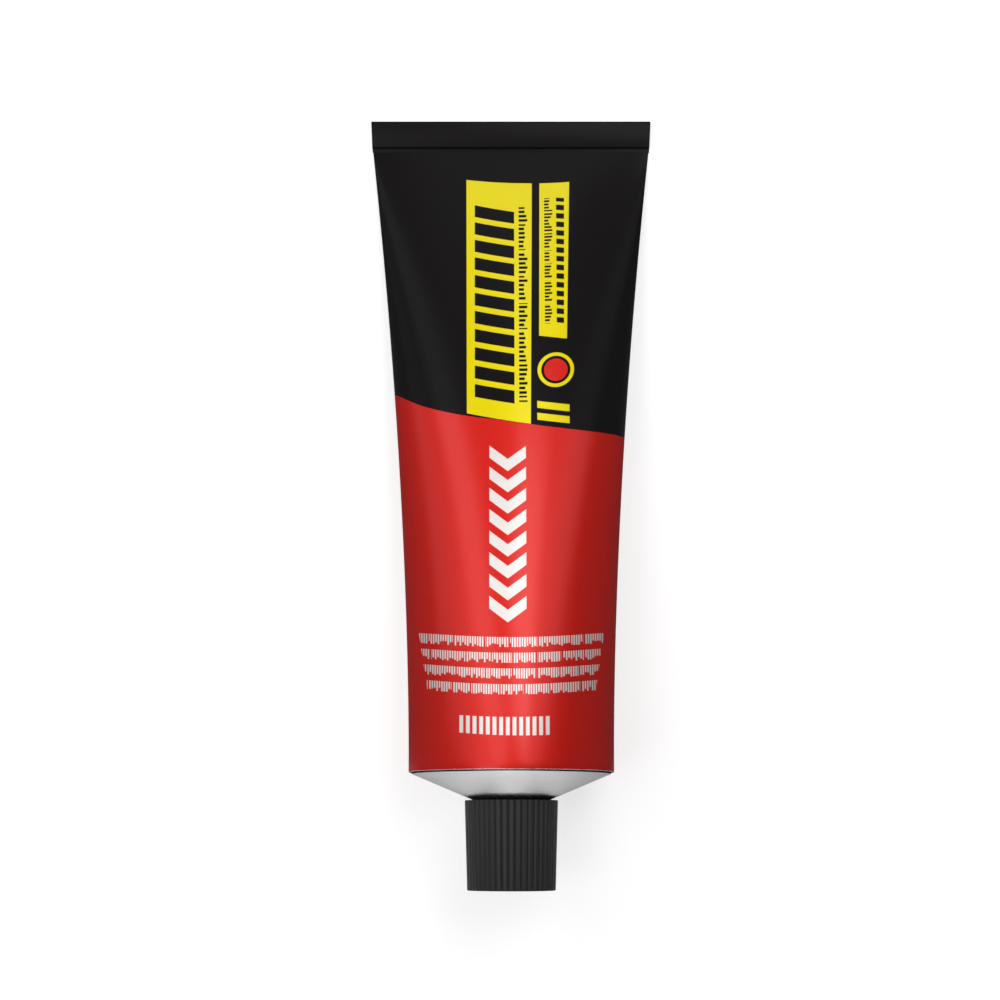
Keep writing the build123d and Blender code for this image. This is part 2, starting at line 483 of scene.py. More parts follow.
DISC_CENTRE = (9.7, 86.2)
DISC_RINGS = ((4.0, YELLOW), (3.2, BLACK), (2.6, RED))
STRIPE_LEFT, STRIPE_RIGHT = 5.6, 12.6
STRIPE_LOWS = (77.6, 74.9)
STRIPE_WIDTH, STRIPE_DROP = 1.6, 1.12

COLUMN_MIDDLE, COLUMN_HALF_WIDTH = -0.8, 3.9
CHEVRON_FROM, CHEVRON_TO = 30.5, 66.2
CHEVRON_STEEPNESS = 0.75
CHEVRONS = {"pitch": 4.7, "width": 2.7, "start": CHEVRON_FROM}

LINE_FIELD = [(-17.6, 14.3), (17.6, 14.3), (19.8, 27.4), (-19.8, 27.4)]
LINE_TOP, LINE_PITCH, LINE_HEIGHT = 27.4, 3.3, 2.1
LINE_SHIFT = 37.0
LINE_FILL = 0.9
LINE_STROKES = {"word": 5.2, "pitch": 0.52, "seed": 5.0}

MEASURE_FIELD = [(-11.0, 7.1), (8.0, 6.8), (8.0, 10.7), (-11.0, 10.7)]
MEASURE_BARS = {"pitch": 1.38, "width": 0.8, "start": -10.9}
print("chevrons:", math.ceil((CHEVRON_TO - CHEVRON_FROM) / CHEVRONS["pitch"]))


# %% The slanting edge between black and red
def black_begins(tree, x):
    """How far from the rim black begins, along a smooth curve through a few points."""

    def on_curve(side, distance):
        return (side + EDGE_SIDE) / (2 * EDGE_SIDE), (distance - EDGE_LOW) / (EDGE_HIGH - EDGE_LOW)

    edge = tree.nodes.new("ShaderNodeFloatCurve")
    curve = edge.mapping.curves[0]
    curve.points[0].location = on_curve(*BLACK_EDGE[0])
    curve.points[1].location = on_curve(*BLACK_EDGE[-1])
    for side, distance in BLACK_EDGE[1:-1]:
        curve.points.new(*on_curve(side, distance))
    edge.mapping.update()
    tree.links.new(((x + EDGE_SIDE) / (2 * EDGE_SIDE)).socket, edge.inputs["Value"])
    return Reading(tree, edge.outputs["Value"]) * (EDGE_HIGH - EDGE_LOW) + EDGE_LOW


# %% White print on the red half
def white_print(x, v):
    """The column of chevrons, the lines of strokes and the row of bars by the rim."""
    aside = abs(x - COLUMN_MIDDLE)
    chevron = v - aside * CHEVRON_STEEPNESS
    column = soft(COLUMN_HALF_WIDTH - aside)
    column = column.least(soft(chevron - CHEVRON_FROM)).least(soft(CHEVRON_TO - chevron))

    lines = (LINE_TOP - v) / LINE_PITCH
    down = lines.part() * LINE_PITCH / LINE_HEIGHT
    in_line = (1.0 - down).over(0.0)
    line_strokes = strokes(x + lines.whole() * LINE_SHIFT, down * LINE_FILL, **LINE_STROKES)
    return (
        column * bars(chevron, **CHEVRONS),
        patch(x, v, LINE_FIELD) * line_strokes * in_line,
        patch(x, v, MEASURE_FIELD) * bars(x, **MEASURE_BARS),
    )


# %% [markdown]
# ## The enamel
# Printing enamel on aluminium has a broad, soft shine. The bright colours let much of the metal's
# own shine through, and black only a little. That is a part-metallic shader, with a share of metal
# and of clear coat that follows the print. The dark specular tint keeps the metal part from paling
# at the sides. Where the enamel stops at the rim, the edge is worn through to a thin pale line of
# bare metal.

# %% Printed enamel
BARE_METAL = (0.82, 0.82, 0.83)
BARE_LINE = 0.1
RAGGED_PER_MM = 1.4
RAGGED_BY = 0.24
LACQUER_METAL = 0.5
BLACK_METAL = 0.1
LACQUER_COAT = 0.06
BLACK_COAT = 0.012
ENAMEL_ROUGHNESS = 0.44
ENAMEL_MOTTLE = 0.06
MOTTLE_PER_MM = 0.35
ORANGE_PEEL_PER_MM = 2.5
ORANGE_PEEL_DEPTH = 0.004

enamel, enamel_shader, enamel_place = new_finish(
    "printed_enamel",
    Coat_Roughness=0.22,
    Coat_IOR=3.0,
    IOR=1.45,
    Specular_IOR_Level=0.05,
    Specular_Tint=(0.0, 0.0, 0.0, 1.0),
)


def printed_enamel():
    """Lay the print's fields over each other, and give the enamel its shine."""
    tree = enamel.node_tree
    x, y, height = split(tree, enamel_place)
    front = y.over(0.0)
    from_rim = height * -1.0
    v = from_rim - x * x * PRINT_BEND
    slanted = v + x * BAR_SLANT
    black = soft(from_rim - black_begins(tree, x))
    colour = blend_colour(tree, black, RED, BLACK)
    opaque = black

    def lay(shape, ink):
        """Print one shape over what is there, on the front only."""
        nonlocal colour, opaque
        printed = shape * front
        colour = blend_colour(tree, printed, colour, ink)
        opaque = opaque.most(printed) if ink == BLACK else opaque.least(1.0 - printed)

    lay(patch(x, v, MAIN_PANEL), YELLOW)
    lay(patch(x, v, MAIN_BAR_FIELD) * bars(slanted, **MAIN_BARS), BLACK)
    up = (x - MAIN_STROKE_FIELD[0][0]) / MAIN_STROKE_HEIGHT
    lay(patch(x, v, MAIN_STROKE_FIELD) * strokes(v, up, **MAIN_STROKES), BLACK)

    lay(patch(x, v, SIDE_PANEL), YELLOW)
    up = (x - SIDE_STROKE_FIELD[0][0]) / SIDE_STROKE_HEIGHT
    lay(patch(x, v, SIDE_STROKE_FIELD) * strokes(v, up, **SIDE_STROKES), BLACK)
    lay(patch(x, v, SIDE_BAR_FIELD) * bars(slanted, **SIDE_BARS), BLACK)
    for radius, ink in DISC_RINGS:
        lay(disc(x, v, DISC_CENTRE, radius), ink)
    for low in STRIPE_LOWS:
        right_low = low - STRIPE_DROP
        right = [(STRIPE_RIGHT, right_low), (STRIPE_RIGHT, right_low + STRIPE_WIDTH)]
        lay(patch(x, v, [(STRIPE_LEFT, low), *right, (STRIPE_LEFT, low + STRIPE_WIDTH)]), YELLOW)
    for shape in white_print(x, v):
        lay(shape, WHITE)

    ragged = noise(tree, enamel_place, RAGGED_PER_MM) - 0.5
    bare = soft(BARE_LINE - from_rim + ragged * RAGGED_BY)
    colour = blend_colour(tree, bare, colour, BARE_METAL)
    tree.links.new(colour, enamel_shader.inputs["Base Color"])
    shows_metal = opaque * (BLACK_METAL - LACQUER_METAL) + LACQUER_METAL
    tree.links.new(shows_metal.most(bare).socket, enamel_shader.inputs["Metallic"])
    coat = opaque * (BLACK_COAT - LACQUER_COAT) + LACQUER_COAT
    tree.links.new(coat.socket, enamel_shader.inputs["Coat Weight"])
    roughness = noise(tree, enamel_place, MOTTLE_PER_MM) * ENAMEL_MOTTLE + ENAMEL_ROUGHNESS
    tree.links.new(roughness.socket, enamel_shader.inputs["Roughness"])
    relief(tree, enamel_shader, noise(tree, enamel_place, ORANGE_PEEL_PER_MM), ORANGE_PEEL_DEPTH)


printed_enamel()
print("nodes in the enamel:", len(enamel.node_tree.nodes))

# %% [markdown]
# ## Bare aluminium
# The shoulder, the neck and the nose are bare, as they came out of the press and off the trimming
# lathe. Fine rings run round the axis, which the height over the rim and the distance from the axis
# give together. The neck and the thread stay bright, because the cap covers them, and the cone has
# gone dull in handling. The groove inside the rim and the foot of the cone are painted near-black, as
# painted shade.

# %% Bare aluminium
METAL_DARK = (0.78, 0.78, 0.79)
METAL_PALE = (0.84, 0.84, 0.85)
METAL_LUMPS_PER_MM = 0.5
PAINTED_GROOVE_SHADE = (0.03, 0.028, 0.028)
DARK_BELOW = 0.32
DARK_OUTSIDE = 21.3
POLISHED_TO = 10.3
DULL_FROM = 11.5
POLISHED = 0.24
DULL = 0.44
METAL_MOTTLE = 0.06
RING_PITCH = 0.16
RING_CLIMB = 0.35
RING_DEPTH = 0.001
aluminium, aluminium_shader, aluminium_place = new_finish(
    "bare_aluminium", Metallic=1.0, Specular_Tint=(0.2, 0.2, 0.2, 1.0)
)


def turned_aluminium():
    """Bright metal with fine trimming rings, a little mottle and painted shade in the groove inside the
    rim.
    """
    tree = aluminium.node_tree
    x, y, height = split(tree, aluminium_place)
    radius = (x * x + y * y) ** 0.5
    rings = abs(((radius + height * RING_CLIMB) / RING_PITCH).part() - 0.5)
    mottle = noise(tree, aluminium_place, METAL_LUMPS_PER_MM)
    colour = blend_colour(tree, mottle, METAL_DARK, METAL_PALE)
    # Painted shade: the groove inside the rim and the foot of the cone are painted near-black.
    painted_groove_shade = soft(DARK_BELOW - height) * radius.over(DARK_OUTSIDE)
    colour = blend_colour(tree, painted_groove_shade, colour, PAINTED_GROOVE_SHADE)
    tree.links.new(colour, aluminium_shader.inputs["Base Color"])
    dull = ((radius - POLISHED_TO) / (DULL_FROM - POLISHED_TO)).kept_in_one()
    roughness = dull * (DULL - POLISHED) + mottle * METAL_MOTTLE + POLISHED
    tree.links.new(roughness.socket, aluminium_shader.inputs["Roughness"])
    relief(tree, aluminium_shader, rings, RING_DEPTH)


turned_aluminium()
print("nodes in the aluminium:", len(aluminium.node_tree.nodes))

# %% [markdown]
# ## The cap's plastic and the wad's foam
# The cap is moulded in near-black plastic from a finely textured mould, so its shine is broad and
# soft. The wad is cut from pale foam sheet, and its open pores are small pits, painted darker as painted
# shade.

# %% Moulded plastic and sealing foam
PLASTIC_DARK = (0.021, 0.021, 0.022)
PLASTIC_PALE = (0.025, 0.025, 0.026)
PLASTIC_LUMPS_PER_MM = 0.6
PLASTIC_ROUGHNESS = 0.48
PLASTIC_MOTTLE = 0.1
MOULD_GRAIN_PER_MM = 9.0
MOULD_GRAIN_DEPTH = 0.006
FOAM_PORE_SHADE = (0.66, 0.65, 0.6)
FOAM_FACE = (0.88, 0.87, 0.83)
PORES_PER_MM = 4.0
PORE_SPREAD = 1.6
PORE_DEPTH = 0.05


def moulded_plastic():
    """Near-black satin plastic with the mould's fine texture."""
    material, shader, place = new_finish("cap_plastic", Specular_IOR_Level=0.27)
    tree = material.node_tree
    mottle = noise(tree, place, PLASTIC_LUMPS_PER_MM)
    tree.links.new(blend_colour(tree, mottle, PLASTIC_DARK, PLASTIC_PALE), shader.inputs["Base Color"])
    tree.links.new((mottle * PLASTIC_MOTTLE + PLASTIC_ROUGHNESS).socket, shader.inputs["Roughness"])
    relief(tree, shader, noise(tree, place, MOULD_GRAIN_PER_MM), MOULD_GRAIN_DEPTH)
    return material


def sealing_foam():
    """Pale closed foam with small pores, painted darker inside them as painted shade."""
    material, shader, place = new_finish("sealing_foam", Roughness=0.8, Specular_IOR_Level=0.3)
    tree = material.node_tree
    cells = tree.nodes.new("ShaderNodeTexVoronoi")
    cells.inputs["Scale"].default_value = PORES_PER_MM
    tree.links.new(place, cells.inputs["Vector"])
    pores = (Reading(tree, cells.outputs["Distance"]) * PORE_SPREAD).kept_in_one()
    # Painted shade: the pores are painted darker than the face of the foam.
    tree.links.new(blend_colour(tree, pores, FOAM_PORE_SHADE, FOAM_FACE), shader.inputs["Base Color"])
    relief(tree, shader, pores, PORE_DEPTH)
    return material


plastic = moulded_plastic()
foam = sealing_foam()
print("nodes in the plastic:", len(plastic.node_tree.nodes), "and foam:", len(foam.node_tree.nodes))

# %% [markdown]
# ## The metal skin
# The sleeve is a tube that was round and is now flat at one end. Each cross-section is half an
# ellipse in front and half an ellipse behind. The sides spread along a power of the distance from
# the rim, the front falls along another, and the back goes straight down to the floor. A plain
# cylinder of unit size has all the corners it needs, so a tree only has to scale each of them by
# where it is. The last ring comes out flat, and merging its corners closes it.

# %% Sleeve
ROUND_STEPS = 192
LONG_STEPS = 160
SLEEVE_SIZES = {
    "Rim radius": RIM_RADIUS,
    "Round band": 1.5 * MM,
    "Taper length": 138.3 * MM,
    "Half width at the fold": 31.2 * MM,
    "Flare power": 1.71,
    "Fall power": 1.5,
    "Steps round": ROUND_STEPS,
    "Steps along": LONG_STEPS,
}


def sleeve_tree():
    """The tapering sleeve, from a cylinder of unit size."""
    tree, _, size = shape_tree("tapering_sleeve", SLEEVE_SIZES)
    blank = tree.nodes.new("GeometryNodeMeshCylinder")
    blank.fill_type = "NONE"
    blank.inputs["Radius"].default_value = 1.0
    blank.inputs["Depth"].default_value = 1.0
    tree.links.new(size["Steps round"].socket, blank.inputs["Vertices"])
    tree.links.new(size["Steps along"].socket, blank.inputs["Side Segments"])
    x, y, z = split(tree, tree.nodes.new("GeometryNodeInputPosition").outputs[0])
    share = (0.5 - z).most(0.0)
    spread = (size["Half width at the fold"] - size["Rim radius"]) * share ** size["Flare power"]
    half_width = size["Rim radius"] + spread
    back = size["Rim radius"] * (1.0 - share)
    front = size["Rim radius"] * (1.0 - share ** size["Fall power"])
    depth = back + (front - back) * y.over(0.0)
    place = tree.nodes.new("GeometryNodeSetPosition")
    tree.links.new(blank.outputs["Mesh"], place.inputs["Geometry"])
    along = (size["Round band"] + size["Taper length"] * share) * -1.0
    tree.links.new(joined(tree, x * half_width, y * depth, along), place.inputs["Position"])
    close_tree(tree, place.outputs["Geometry"], enamel)
    return tree


# %% [markdown]
# The stiff end is turned: a thin lip and groove at the rim, the cone of the shoulder, the neck and
# the nose with its thin membrane. Its first ring is the sleeve's first ring, so merging the two
# makes one closed skin, as the real tube is.

# %% Shoulder, neck and nose
LIP = 0.3 * MM
GROOVE_WIDTH = 0.3 * MM
GROOVE_DEPTH = 0.4 * MM
SHOULDER_STEP = 0.3 * MM
SHOULDER_SLOPE = 0.42
MEMBRANE_RADIUS = 4.0 * MM
MEMBRANE_DEPTH = 0.8 * MM
RIM_ROUNDING = 0.1 * MM
GROOVE_ROUNDING = 0.08 * MM
SHOULDER_ROUNDING = 0.35 * MM
NECK_FILLET = 0.4 * MM
NOSE_ROUNDING = 0.5 * MM
MEMBRANE_ROUNDING = 0.2 * MM
SLEEVE_ENDS = 1.2 * GROOVE_DEPTH

shoulder_radius = RIM_RADIUS - LIP - GROOVE_WIDTH
neck_base = SHOULDER_STEP + SHOULDER_SLOPE * (shoulder_radius - NECK_RADIUS)
stiff_end = rounded(
    [
        (RIM_RADIUS, -SLEEVE_SIZES["Round band"], 0),
        (RIM_RADIUS, 0, RIM_ROUNDING),
        (RIM_RADIUS - LIP, 0, RIM_ROUNDING),
        (RIM_RADIUS - LIP, -GROOVE_DEPTH, GROOVE_ROUNDING),
        (shoulder_radius, -GROOVE_DEPTH, GROOVE_ROUNDING),
        (shoulder_radius, SHOULDER_STEP, SHOULDER_ROUNDING),
        (NECK_RADIUS, neck_base, NECK_FILLET),
        (NECK_RADIUS, NOSE, NOSE_ROUNDING),
        (MEMBRANE_RADIUS, NOSE, MEMBRANE_ROUNDING),
        (MEMBRANE_RADIUS, NOSE - MEMBRANE_DEPTH, MEMBRANE_ROUNDING),
        (0, NOSE - MEMBRANE_DEPTH, 0),
    ]
)


def tube_shell():
    """The sleeve and the stiff end as one closed skin: enamel outside, bare metal past the rim."""
    skin = turned(stiff_end, ROUND_STEPS)
    skin.from_mesh(run_tree(sleeve_tree(), SLEEVE_SIZES))
    for face in skin.faces:
        on_sleeve = face.calc_center_median().z < -SLEEVE_ENDS
        on_lip = max(corner.co.xy.length for corner in face.verts) > RIM_RADIUS - LIP / 2
        face.material_index = 0 if on_sleeve or on_lip else 1
    return to_mesh("tube_shell", skin, [enamel, aluminium])


piece("tube_shell", tube_shell(), "tube", replaces="tube_body")

# %% [markdown]
# ## The folded end
# After filling, the flat end is folded over twice to the front and pressed, so that the cut edge is
# tucked away between two layers. Seen from the side it is a flat spiral. The middle line of the
# doubled foil is drawn first, and the foil's thickness is laid off to both sides of it. The side
# edges thin out a little, because they are tight bends of the tube's own wall.

# %% Folded end
FOIL = 0.3 * MM
FOLD_HEIGHT = 6.4 * MM
FOLD_GAP = 0.06 * MM
FOLD_ROOT = 0.35 * MM
FOLD_LAP = 0.6 * MM
TUCKED_SHARE = 0.8
FOLD_ARC_STEPS = 12
FOLD_NARROWING = 0.008
# How far in from the side edge, and the share of the foil's full thickness there
SIDE_ROUNDING = ((0.0, 0.45), (0.03 * MM, 0.75), (0.1 * MM, 0.95), (0.2 * MM, 1.0))


def fold_line():
    """The middle of the doubled foil, as (row Y, height), from the sleeve to the tucked end."""
    root = fold_high.y - FOLD_HEIGHT
    pitch = FOIL + FOLD_GAP
    upper_turn = fold_high.y - FOIL / 2 - pitch
    lower_turn = root + FOLD_ROOT + FOIL / 2 + pitch / 2
    line = [Vector((root - FOLD_LAP, FOIL / 2))]
    arcs = ((upper_turn, pitch, pitch, -90, 90), (lower_turn, 1.5 * pitch, pitch / 2, 90, 270))
    for turn, middle, radius, start, end in arcs:
        for step in range(FOLD_ARC_STEPS + 1):
            angle = math.radians(start + (end - start) * step / FOLD_ARC_STEPS)
            rise = FOIL / 2 + middle + radius * math.sin(angle)
            line.append(Vector((turn + radius * math.cos(angle), rise)))
    line.append(Vector((lower_turn + TUCKED_SHARE * (upper_turn - lower_turn), FOIL / 2 + pitch)))
    return line


def folded_end():
    """The spiral of foil, drawn out across the tube's width."""
    line = fold_line()
    ends = [line[0], *line, line[-1]]
    normals = [(after - before).normalized() for before, after in zip(ends, ends[2:])]
    sides = [(-FOLD_WIDTH / 2 + inset, full) for inset, full in SIDE_ROUNDING]
    sides += [(-side, full) for side, full in reversed(sides)]
    work = bmesh.new()
    rings = []
    for side, full in sides:
        offsets = [Vector((-normal.y, normal.x)) * (full * FOIL / 2) for normal in normals]
        loop = [point + offset for point, offset in zip(line, offsets)]
        loop += [point - offset for point, offset in zip(reversed(line), reversed(offsets))]
        ring = []
        for point in loop:
            narrower = 1 - FOLD_NARROWING * (fold_high.y - point.x) / FOLD_HEIGHT
            ring.append(work.verts.new((side * narrower, point.x, point.y)))
        rings.append(ring)
    count = len(rings[0])
    for near, far in zip(rings, rings[1:]):
        for index in range(count):
            ahead = (index + 1) % count
            work.faces.new((near[index], near[ahead], far[ahead], far[index]))
    for ring in (rings[0], rings[-1]):
        for index in range(len(line) - 1):
            other = count - 1 - index
            work.faces.new((ring[index], ring[index + 1], ring[other - 1], ring[other]))
    work.transform(laid_down.inverted())
    return to_mesh("folded_end", work, [enamel])


piece("folded_end", folded_end(), "tube")

# %% [markdown]
# ## The threads
# The neck has almost two and a half turns of a right-hand thread, and the cap has its partner
# inside, half a pitch behind. A thread is a ridge drawn along a helix, so one tree makes both: a
# spiral with no change of radius, a trapezium swept along it, and a scale that runs to almost
# nothing at both ends.

# %% Thread tree
THREAD_PITCH = 3.0 * MM
STEPS_PER_TURN = 96
NECK_TURNS = 2.4
CAP_TURNS = 2.5
RIDGE = 0.7 * MM
FOOT = 0.06 * MM
RUN_OUT_SCALE = 0.06
THREAD_SIZES = {
    "Radius": NECK_RADIUS,
    "Turns": NECK_TURNS,
    "Length": NECK_TURNS * THREAD_PITCH,
    "Ridge height": RIDGE,
    "Foot width": 1.5 * MM,
    "Crest width": 0.7 * MM,
    "Run out": 0.12,
    "Steps per turn": STEPS_PER_TURN,
}


def thread_tree(material):
    """A ridge along a helix. A negative ridge height points inwards."""
    tree, _, size = shape_tree("screw_thread", THREAD_SIZES)
    helix = tree.nodes.new("GeometryNodeCurveSpiral")
    for slot, name in (
        ("Resolution", "Steps per turn"),
        ("Rotations", "Turns"),
        ("Start Radius", "Radius"),
        ("End Radius", "Radius"),
        ("Height", "Length"),
    ):
        tree.links.new(size[name].socket, helix.inputs[slot])
    upright = tree.nodes.new("GeometryNodeSetCurveNormal")
    upright.mode = "Z_UP"
    tree.links.new(helix.outputs["Curve"], upright.inputs["Curve"])
    profile = tree.nodes.new("GeometryNodeCurvePrimitiveQuadrilateral")
    profile.mode = "POINTS"
    foot = size["Foot width"] / 2
    crest = size["Crest width"] / 2
    sunk = size["Ridge height"] * (-FOOT / RIDGE)
    nothing = size["Turns"] * 0.0
    profile_corners = (
        (foot * -1.0, sunk),
        (foot, sunk),
        (crest, size["Ridge height"]),
        (crest * -1.0, size["Ridge height"]),
    )
    for slot, (across, out) in zip(profile.inputs[-4:], profile_corners):
        tree.links.new(joined(tree, across, out, nothing), slot)
    along = Reading(tree, tree.nodes.new("GeometryNodeSplineParameter").outputs["Factor"])
    from_ends = along.least(1.0 - along) / size["Run out"]
    sweep = tree.nodes.new("GeometryNodeCurveToMesh")
    sweep.inputs["Fill Caps"].default_value = True
    tree.links.new(upright.outputs["Curve"], sweep.inputs["Curve"])
    tree.links.new(profile.outputs["Curve"], sweep.inputs["Profile Curve"])
    tree.links.new(from_ends.least(1.0).most(RUN_OUT_SCALE).socket, sweep.inputs["Scale"])
    close_tree(tree, sweep.outputs["Mesh"], material)
    return tree


# %% Both threads
BORE_RADIUS = 8.0 * MM
NECK_THREAD_START = 8.2 * MM
CAP_THREAD_START = 7.6 * MM


def thread(name, material, start, turn_degrees, sizes):
    """One thread, lifted to its place and turned to its start."""
    work = bmesh.new()
    work.from_mesh(run_tree(thread_tree(material), {**THREAD_SIZES, **sizes}))
    placed = Matrix.Translation((0, 0, start)) @ Matrix.Rotation(math.radians(turn_degrees), 4, "Z")
    work.transform(placed)
    return to_mesh(name, work, [material], crease_degrees=25)


cap_side = {
    "Radius": BORE_RADIUS,
    "Turns": CAP_TURNS,
    "Length": CAP_TURNS * THREAD_PITCH,
    "Foot width": 1.3 * MM,
    "Crest width": 0.6 * MM,
    "Ridge height": -RIDGE,
}
lag = 180 + 360 * (CAP_THREAD_START - NECK_THREAD_START) / THREAD_PITCH
piece("neck_thread", thread("neck_thread", aluminium, NECK_THREAD_START, 0, {}), "tube")
piece("cap_thread", thread("cap_thread", plastic, CAP_THREAD_START, lag, cap_side), "cap")

# %% [markdown]
# ## The ribbed cap
# The cap is a turned blank whose skirt carries 42 ribs for the fingers. The blank has the bore that
# the neck screws into at one end, and at the other the recess with the spike that pierces the nose.
# A tree then presses the grooves between the ribs: it pushes each corner of the skirt inwards by
# how near it is to the middle of a groove, and fades out on the end faces before it meets the bore.

# %% Cap blank
WEB_BASE = 17.69 * MM
RECESS_BASE = 19.29 * MM
RECESS_RADIUS = 8.0 * MM
CAP_END_RADIUS = 9.5 * MM
LEAD_IN = 0.8 * MM
SPIKE_RADIUS = 2.4 * MM
SPIKE_TIP = 0.3 * MM
SPIKE_SET_BACK = 0.9 * MM
PLAIN_RIM_RADIUS = 9.1 * MM
PLAIN_END_RADIUS = 9.0 * MM
BORE_ROUNDING = 0.2 * MM
LEAD_IN_ROUNDING = 0.05 * MM
SKIRT_RIM_ROUNDING = 0.12 * MM
SKIRT_END_ROUNDING = 0.25 * MM
RECESS_ROUNDING = 0.2 * MM
RECESS_FILLET = 0.3 * MM
SPIKE_TIP_ROUNDING = 0.12 * MM
RIBS = 42
STEPS_PER_RIB = 14

blank_outline = rounded(
    [
        (0, WEB_BASE, 0),
        (BORE_RADIUS, WEB_BASE, BORE_ROUNDING),
        (BORE_RADIUS, CAP_RIM + LEAD_IN, 0),
        (BORE_RADIUS + LEAD_IN, CAP_RIM, LEAD_IN_ROUNDING),
        (PLAIN_RIM_RADIUS, CAP_RIM, 0),
        (CAP_RIM_RADIUS, CAP_RIM, SKIRT_RIM_ROUNDING),
        (CAP_END_RADIUS, CAP_END, SKIRT_END_ROUNDING),
        (PLAIN_END_RADIUS, CAP_END, 0),
        (RECESS_RADIUS, CAP_END, RECESS_ROUNDING),
        (RECESS_RADIUS, RECESS_BASE, RECESS_FILLET),
        (SPIKE_RADIUS, RECESS_BASE, RECESS_FILLET),
        (SPIKE_TIP, CAP_END - SPIKE_SET_BACK, SPIKE_TIP_ROUNDING),
        (0, CAP_END - SPIKE_SET_BACK, 0),
    ]
)

# %% Press the grooves
RIB_SIZES = {
    "Ribs": RIBS,
    "Groove depth": 0.32 * MM,
    "Groove width": 0.75 * MM,
    "Fade from": PLAIN_END_RADIUS,
    "Fade to": 9.45 * MM,
}


def rib_tree():
    """Grooves pressed into a turned blank."""
    tree, geometry, size = shape_tree("pressed_ribs", RIB_SIZES)
    x, y, z = split(tree, tree.nodes.new("GeometryNodeInputPosition").outputs[0])
    radius = (x * x + y * y) ** 0.5
    angle = y.work_out("ARCTAN2", y, x)
    grooves = angle * size["Ribs"] / (2 * math.pi)
    off_groove = abs(grooves - grooves.work_out("ROUND", grooves))
    away = off_groove * radius * (2 * math.pi) / size["Ribs"]
    near = (1.0 - away / (size["Groove width"] / 2)).kept_in_one()
    eased = near * near * (3.0 - near * 2.0)
    fade = ((radius - size["Fade from"]) / (size["Fade to"] - size["Fade from"])).kept_in_one()
    smaller = 1.0 - eased * fade * size["Groove depth"] / radius.most(MM)
    place = tree.nodes.new("GeometryNodeSetPosition")
    tree.links.new(geometry, place.inputs["Geometry"])
    tree.links.new(joined(tree, x * smaller, y * smaller, z), place.inputs["Position"])
    close_tree(tree, place.outputs["Geometry"], plastic)
    return tree


def ribbed_cap():
    """The blank, spun and ribbed."""
    blank = bpy.data.meshes.new("cap_blank")
    spun = turned(blank_outline, RIBS * STEPS_PER_RIB)
    spun.to_mesh(blank)
    spun.free()
    work = bmesh.new()
    work.from_mesh(run_tree(rib_tree(), RIB_SIZES, start=blank))
    return to_mesh("ribbed_cap", work, [plastic], crease_degrees=50)


piece("ribbed_cap", ribbed_cap(), "cap", replaces="cap")

# %% [markdown]
# ## The sealing wad
# The wad is a foam disc that the cap presses on the nose. Its cut edges are a little crushed, and
# the nose has left a shallow ring in it.

# %% Wad
NOSE_MARK = 0.12 * MM
MARK_INSIDE = 4.6 * MM
MARK_OUTSIDE = 6.7 * MM
MARK_SLOPE = 0.2 * MM
MARK_ROUNDING = 0.1 * MM
MARK_INSIDE_ROUNDING = 0.3 * MM
WAD_ROUNDING = 0.2 * MM
WAD_STEPS = 96
wad_outline = rounded(
    [
        (0, WAD_BASE, 0),
        (MARK_INSIDE, WAD_BASE, MARK_INSIDE_ROUNDING),
        (MARK_INSIDE + MARK_SLOPE, WAD_BASE + NOSE_MARK, MARK_ROUNDING),
        (MARK_OUTSIDE - MARK_SLOPE, WAD_BASE + NOSE_MARK, MARK_ROUNDING),
        (MARK_OUTSIDE, WAD_BASE, MARK_ROUNDING),
        (WAD_RADIUS, WAD_BASE, WAD_ROUNDING),
        (WAD_RADIUS, WAD_TOP, WAD_ROUNDING),
        (0, WAD_TOP, 0),
    ]
)
wad_mesh = to_mesh("sealing_wad", turned(wad_outline, WAD_STEPS), [foam])
piece("sealing_wad", wad_mesh, "wad", replaces="cap_wad")

# %% [markdown]
# ## The set
# The floor is white paper to the camera. Part of that white is lit by the lamps and so keeps the
# tube's shadow, and part is a glow of its own, which gives the photo's plain ground. Reflections see
# less of it, and the light that bounces about sees it grey. Both keep the tube's sides as dark as
# they are in the photo. The room is white to the camera. To reflections it is pale near the ground,
# for the bare shoulder to mirror, and dim overhead.

# %% Paper floor
FLOOR_HALF = 3.0
SEEN_WHITE = 0.6
MIRRORED_WHITE = 0.4
CAMERA_GLOW = 0.62
MIRRORED_GLOW = 0.05
BOUNCE_GREY = 0.22
PAPER_ROUGHNESS = 0.9


def seen_shares(tree):
    """1 for what the camera sees, and 1 for what a reflection or a transmission sees."""
    rays = tree.nodes.new("ShaderNodeLightPath")
    kinds = ("Is Camera Ray", "Is Glossy Ray", "Is Transmission Ray")
    by_camera, glossy, transmitted = [Reading(tree, rays.outputs[kind]) for kind in kinds]
    return by_camera, glossy.most(transmitted)


def paper():
    """Paper that is white to the camera, dimmer to reflections and grey to the light it bounces."""
    material = bpy.data.materials.new("studio_paper")
    material.use_nodes = True
    tree = material.node_tree
    shader = tree.nodes["Principled BSDF"]
    shader.inputs["Roughness"].default_value = PAPER_ROUGHNESS
    shader.inputs["Specular IOR Level"].default_value = 0.0
    shader.inputs["Emission Color"].default_value = (1.0, 1.0, 1.0, 1.0)
    by_camera, mirrored = seen_shares(tree)
    more_white = by_camera * (SEEN_WHITE - BOUNCE_GREY) + mirrored * (MIRRORED_WHITE - BOUNCE_GREY)
    white = more_white + BOUNCE_GREY
    tree.links.new(joined(tree, white, white, white), shader.inputs["Base Color"])
    glow = by_camera * CAMERA_GLOW + mirrored * MIRRORED_GLOW
    tree.links.new(glow.socket, shader.inputs["Emission Strength"])
    return material


